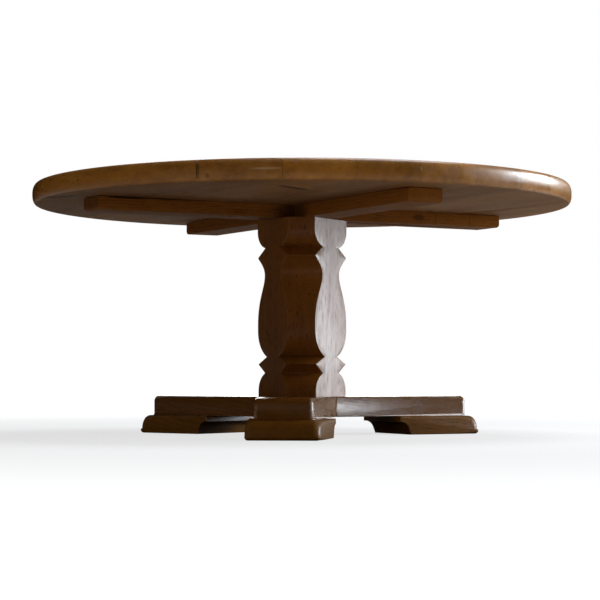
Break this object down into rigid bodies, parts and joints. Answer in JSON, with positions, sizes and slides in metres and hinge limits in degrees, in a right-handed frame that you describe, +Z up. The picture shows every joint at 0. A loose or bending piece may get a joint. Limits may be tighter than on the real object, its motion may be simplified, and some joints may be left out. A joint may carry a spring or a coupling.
{
  "type": "round pedestal table",
  "caption": "Low round table with a plank top on crossed bearers, a sawn three-sided baluster column and a three-armed base on stepped foot pads.",
  "frame": {"origin": "on the floor, at the centre of the table's outline, under the column's axis", "axes": "+Z up; -Y along the front arm of the base; +X to the right as seen from the front"},
  "size_m": [1.2, 1.2, 0.554],
  "materials": {
    "top_oak": "warm brown lacquered oak, satin",
    "bearer_oak": "thinly oiled oak, matt",
    "column_oak": "brown lacquered oak, satin",
    "base_oak": "brown lacquered oak with worn edges, satin",
    "dowel_wood": "bare beech",
    "steel": "zinc-plated steel"
  },
  "bodies": {
    "root": {"top_board_1": "top_oak", "top_board_2": "top_oak", "top_board_3": "top_oak", "top_board_4": "top_oak", "top_board_5": "top_oak", "top_board_6": "top_oak", "top_board_7": "top_oak", "top_board_8": "top_oak", "top_board_9": "top_oak", "top_dowels": "dowel_wood", "bearer_long": "bearer_oak", "bearer_cross": "bearer_oak", "bearer_screws": "steel", "column_stave_front": "column_oak", "column_stave_right": "column_oak", "column_stave_left": "column_oak", "column_foot_dowels": "dowel_wood", "column_head_dowels": "dowel_wood", "tie_rod": "steel", "tie_rod_nuts": "steel", "tie_rod_washer": "steel", "hub_plate": "steel", "hub_plate_screws": "steel", "base_arm_front": "base_oak", "base_arm_right": "base_oak", "base_arm_left": "base_oak", "mitre_dowels": "dowel_wood", "foot_pad_front": "base_oak", "foot_pad_right": "base_oak", "foot_pad_left": "base_oak", "pad_screws": "steel"}
  },
  "joints": []
}
